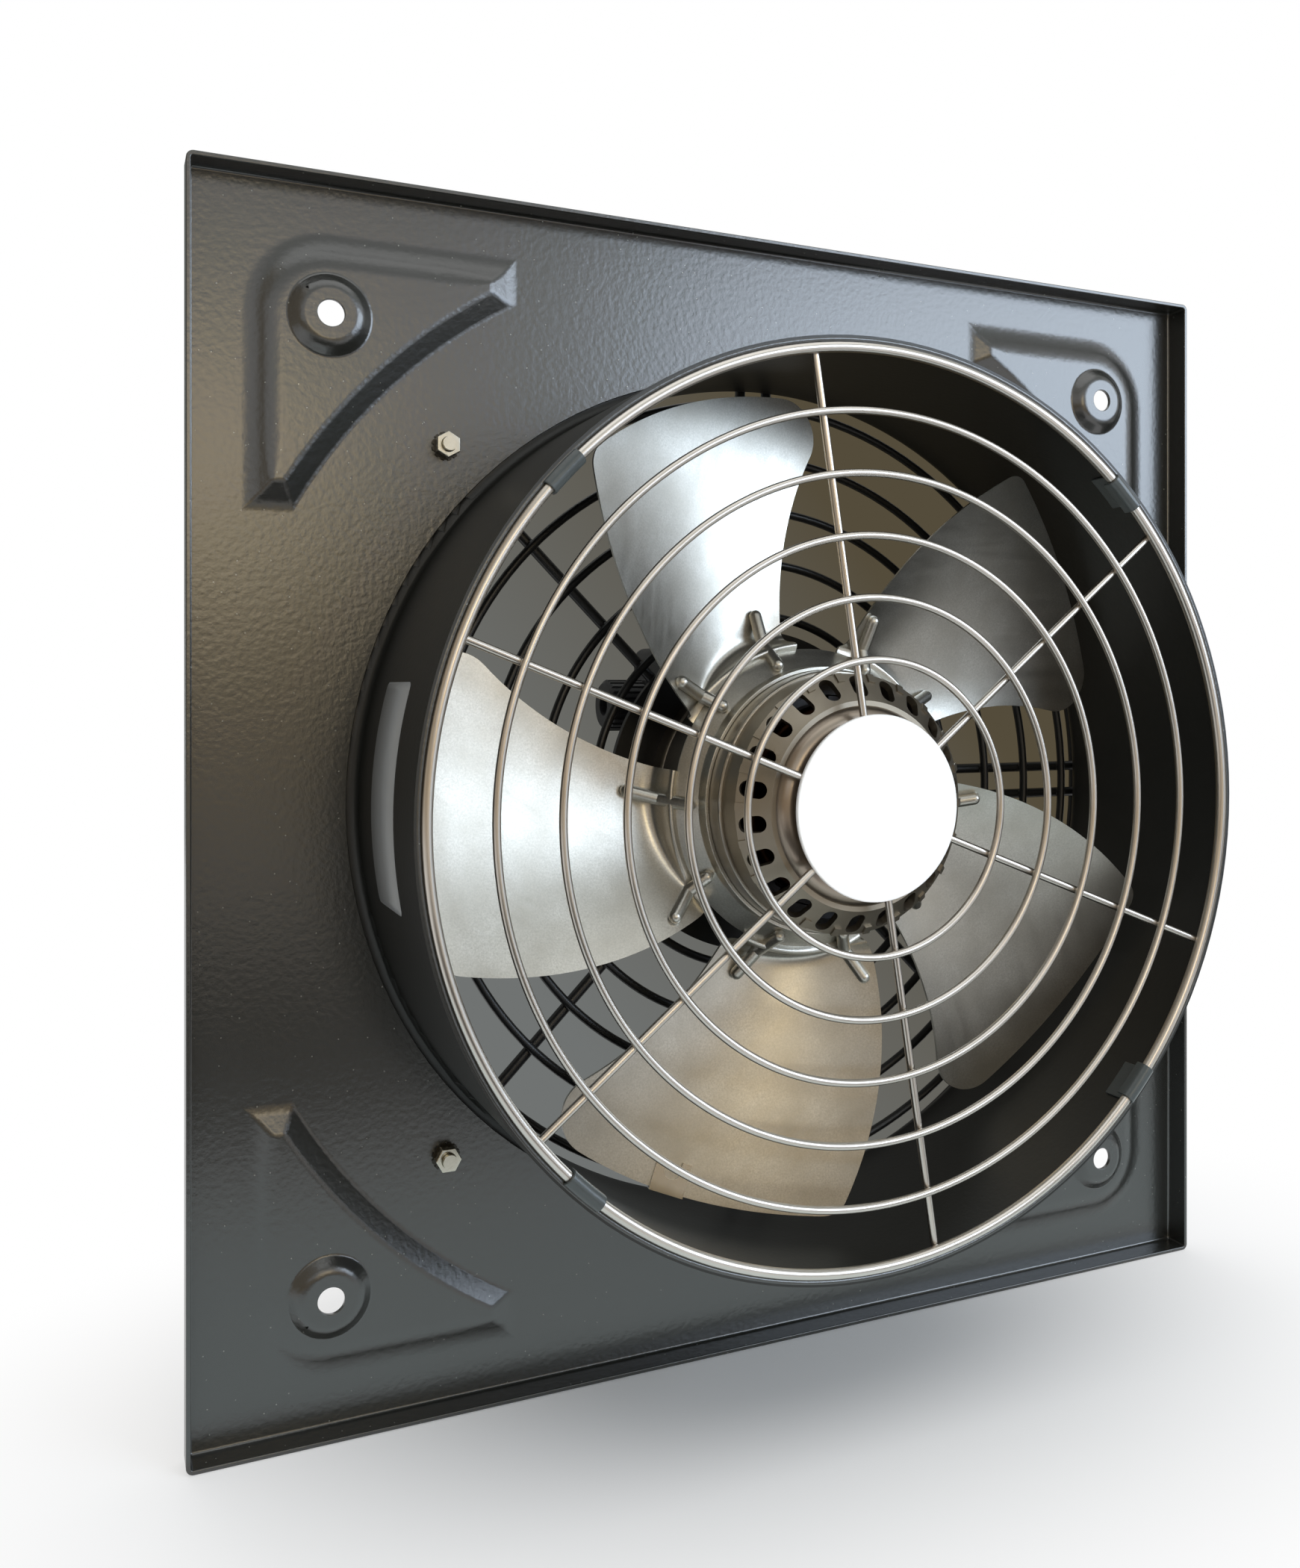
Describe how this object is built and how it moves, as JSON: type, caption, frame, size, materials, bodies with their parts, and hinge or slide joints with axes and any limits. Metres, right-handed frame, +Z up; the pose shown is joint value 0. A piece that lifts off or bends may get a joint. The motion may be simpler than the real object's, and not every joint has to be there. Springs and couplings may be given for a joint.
{
  "type": "wall exhaust fan",
  "caption": "Axial exhaust fan on a square pressed wall plate, with a round duct, wire guards in front and behind, an external-rotor motor and swept sheet blades that spin freely.",
  "frame": {"origin": "centre of the four wall bolt holes, in the plane of the boss faces", "axes": "+Y along the fan axis towards the motor's terminal box, -Y towards the duct and front guard, +Z up"},
  "size_m": [0.422, 0.1317, 0.422],
  "materials": {
    "grey_paint": "satin anthracite powder coat on steel sheet",
    "bright_wire": "bright plated steel wire",
    "badge_white": "gloss white enamel",
    "black_wire": "black coated steel",
    "zinc_fasteners": "zinc plated",
    "galvanised_sheet": "galvanised steel sheet",
    "spring_steel": "bright spring steel",
    "cast_aluminium": "fine cast and turned",
    "machined_steel": "turned steel",
    "laminated_steel": "stacked laminations",
    "varnished_copper": "varnished copper wire",
    "bearing_steel": "polished",
    "nylon": "moulded",
    "dark_plastic": "fine moulded grain",
    "capacitor_case": "moulded",
    "black_rubber": "moulded rubber"
  },
  "bodies": {
    "frame": {"capacitor": "capacitor_case", "duct_ring": "grey_paint", "front_bearing_outer": "bearing_steel", "front_guard_badge": "badge_white", "front_guard_rim": "bright_wire", "front_guard_ring_1": "bright_wire", "front_guard_ring_2": "bright_wire", "front_guard_ring_3": "bright_wire", "front_guard_ring_4": "bright_wire", "front_guard_ring_5": "bright_wire", "front_guard_spokes": "bright_wire", "gland_body": "dark_plastic", "gland_lock_nut": "dark_plastic", "gland_nut": "dark_plastic", "gland_seal": "black_rubber", "guard_bolts": "zinc_fasteners", "guard_clips": "grey_paint", "guard_flat_washers": "zinc_fasteners", "guard_nuts": "zinc_fasteners", "guard_rubber_washers": "black_rubber", "guard_tooth_washers": "zinc_fasteners", "motor_base": "cast_aluminium", "motor_plate": "black_wire", "motor_screws": "zinc_fasteners", "rear_bearing_outer": "bearing_steel", "rear_guard_legs": "black_wire", "rear_guard_pairs": "black_wire", "rear_guard_rim": "black_wire", "rear_guard_ring_1": "black_wire", "rear_guard_ring_2": "black_wire", "rear_guard_ring_3": "black_wire", "rear_guard_ring_4": "black_wire", "rear_guard_ring_5": "black_wire", "stator_core": "laminated_steel", "stator_windings": "varnished_copper", "terminal_box": "dark_plastic", "terminal_box_lid": "dark_plastic", "terminal_box_screws": "zinc_fasteners", "terminal_lid_screws": "zinc_fasteners", "wall_plate": "grey_paint"},
    "impeller": {"rotor_shell": "machined_steel", "rotor_cage": "laminated_steel", "slotted_cap": "cast_aluminium", "hub_dome": "cast_aluminium", "hub_ring": "galvanised_sheet", "balance_clip": "spring_steel", "shaft": "machined_steel", "shaft_spacer": "machined_steel", "shaft_circlip": "spring_steel", "front_bearing_inner": "bearing_steel", "rear_bearing_inner": "bearing_steel", "blade_1": "galvanised_sheet", "blade_2": "galvanised_sheet", "blade_3": "galvanised_sheet", "blade_4": "galvanised_sheet", "blade_5": "galvanised_sheet"},
    "front_ball_set": {"front_bearing_balls": "bearing_steel", "front_bearing_cage": "nylon"},
    "rear_ball_set": {"rear_bearing_balls": "bearing_steel", "rear_bearing_cage": "nylon"}
  },
  "joints": [
    {"name": "impeller_spin", "type": "hinge", "parent": "frame", "child": "impeller", "pos_m": [0, 0, 0], "axis": [0, -1, 0], "continuous": true},
    {"name": "front_ball_roll", "type": "hinge", "parent": "frame", "child": "front_ball_set", "pos_m": [0, 0, 0], "axis": [0, -1, 0], "continuous": true},
    {"name": "rear_ball_roll", "type": "hinge", "parent": "frame", "child": "rear_ball_set", "pos_m": [0, 0, 0], "axis": [0, -1, 0], "continuous": true}
  ],
  "couplings": [
    {"joint": "front_ball_roll", "follows": "impeller_spin", "ratio": 0.37},
    {"joint": "rear_ball_roll", "follows": "impeller_spin", "ratio": 0.37}
  ]
}
